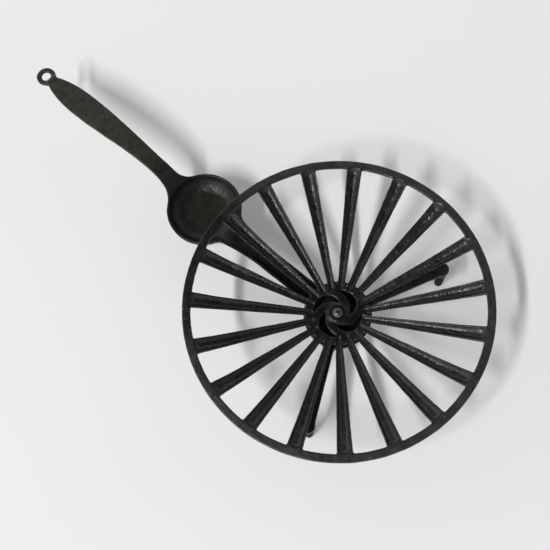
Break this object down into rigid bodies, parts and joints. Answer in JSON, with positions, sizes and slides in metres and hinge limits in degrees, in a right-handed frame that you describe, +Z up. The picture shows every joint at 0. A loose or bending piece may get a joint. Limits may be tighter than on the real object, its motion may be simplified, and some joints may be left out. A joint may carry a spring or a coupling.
{
  "type": "revolving gridiron",
  "caption": "Round cast-iron gridiron: a spinning grate of fat gutters over a three-footed base with drip bowl, trough, dripping cup and gooseneck handle.",
  "frame": {"origin": "middle of the bounding box in X and Y, at the soles of the three feet", "axes": "+X runs from the grate's pivot along the trough and the handle to the hanging eye, +Z is up through the grate, +Y completes a right-handed frame"},
  "size_m": [0.5784, 0.305, 0.084],
  "materials": {
    "grate_iron": "seasoned black casting, satin on the lips and rougher in the gutters, with a trace of rust at the hub",
    "base_iron": "seasoned black casting, slightly brown on the handle, satin inside the cup",
    "rivet_iron": "dark wrought iron worn smooth on the dome, with a little rust at its edge"
  },
  "bodies": {
    "base": {"pivot_rivet": "rivet_iron", "rivet_washer": "rivet_iron", "drip_bowl": "base_iron", "drain_trough": "base_iron", "dripping_cup": "base_iron", "handle": "base_iron", "hanging_eye": "base_iron", "arm_left": "base_iron", "arm_right": "base_iron", "foot_left": "base_iron", "foot_right": "base_iron", "foot_cup": "base_iron"},
    "grate": {"grate_rim": "grate_iron", "grate_hub": "grate_iron", "grate_bar_01": "grate_iron", "grate_bar_02": "grate_iron", "grate_bar_03": "grate_iron", "grate_bar_04": "grate_iron", "grate_bar_05": "grate_iron", "grate_bar_06": "grate_iron", "grate_bar_07": "grate_iron", "grate_bar_08": "grate_iron", "grate_bar_09": "grate_iron", "grate_bar_10": "grate_iron", "grate_bar_11": "grate_iron", "grate_bar_12": "grate_iron", "grate_bar_13": "grate_iron", "grate_bar_14": "grate_iron", "grate_bar_15": "grate_iron", "grate_bar_16": "grate_iron", "grate_bar_17": "grate_iron", "grate_bar_18": "grate_iron", "grate_bar_19": "grate_iron"}
  },
  "joints": [
    {"name": "grate_spin", "type": "hinge", "parent": "base", "child": "grate", "pos_m": [-0.13675, 0, 0.051], "axis": [0, 0, 1], "continuous": true}
  ]
}
